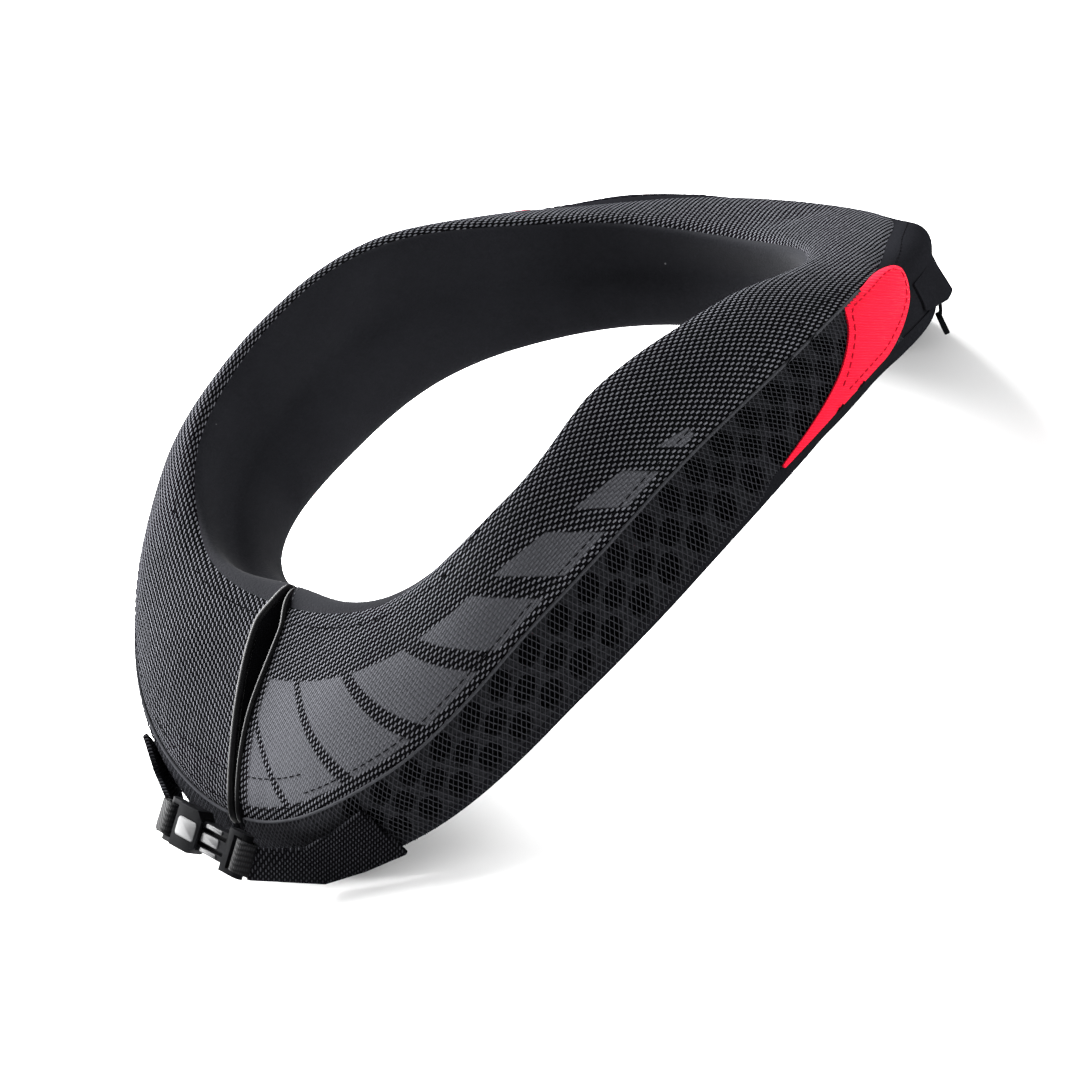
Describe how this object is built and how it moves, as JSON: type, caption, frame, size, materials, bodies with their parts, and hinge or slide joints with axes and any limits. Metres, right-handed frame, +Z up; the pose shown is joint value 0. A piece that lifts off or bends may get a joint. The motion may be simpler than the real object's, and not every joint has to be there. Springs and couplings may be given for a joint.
{
  "type": "padded neck collar",
  "caption": "Foam-filled protective neck collar, a tall ring with a front slit closed by a small buckle, woven top, soft liner, mesh sides and red tags behind.",
  "frame": {"origin": "middle of the footprint's box, on the surface that the collar stands on", "axes": "+X to the wearer's left, +Y to the wearer's back, +Z up along the neck; the slit and buckle are at -Y"},
  "size_m": [0.247, 0.3141, 0.0987],
  "materials": {
    "foam": "matte open foam",
    "liner": "matte brushed knit",
    "woven": "coarse black and grey basket weave",
    "plain_cloth": "smooth matte cloth",
    "mesh": "fine diamond net over perforated pad",
    "tag": "red twill with edge stitching",
    "piping": "smooth satin cord",
    "buckle": "glossy moulded plastic",
    "webbing": "flat ribbed webbing"
  },
  "bodies": {
    "root": {"foam_core": "foam", "neck_liner": "liner", "top_panel": "woven", "underside_panel": "plain_cloth", "back_panel": "plain_cloth", "vent_pad_left": "mesh", "vent_pad_right": "mesh", "side_tag_left": "tag", "side_tag_right": "tag", "back_flap": "plain_cloth", "slit_facing_left": "liner", "slit_facing_right": "liner", "slit_piping_left": "piping", "slit_piping_right": "piping", "buckle_socket": "buckle", "buckle_prong": "buckle", "strap_webbing_left": "webbing", "strap_webbing_right": "webbing", "strap_tab_left": "woven", "strap_tab_right": "woven", "zip_pull": "buckle"}
  },
  "joints": []
}
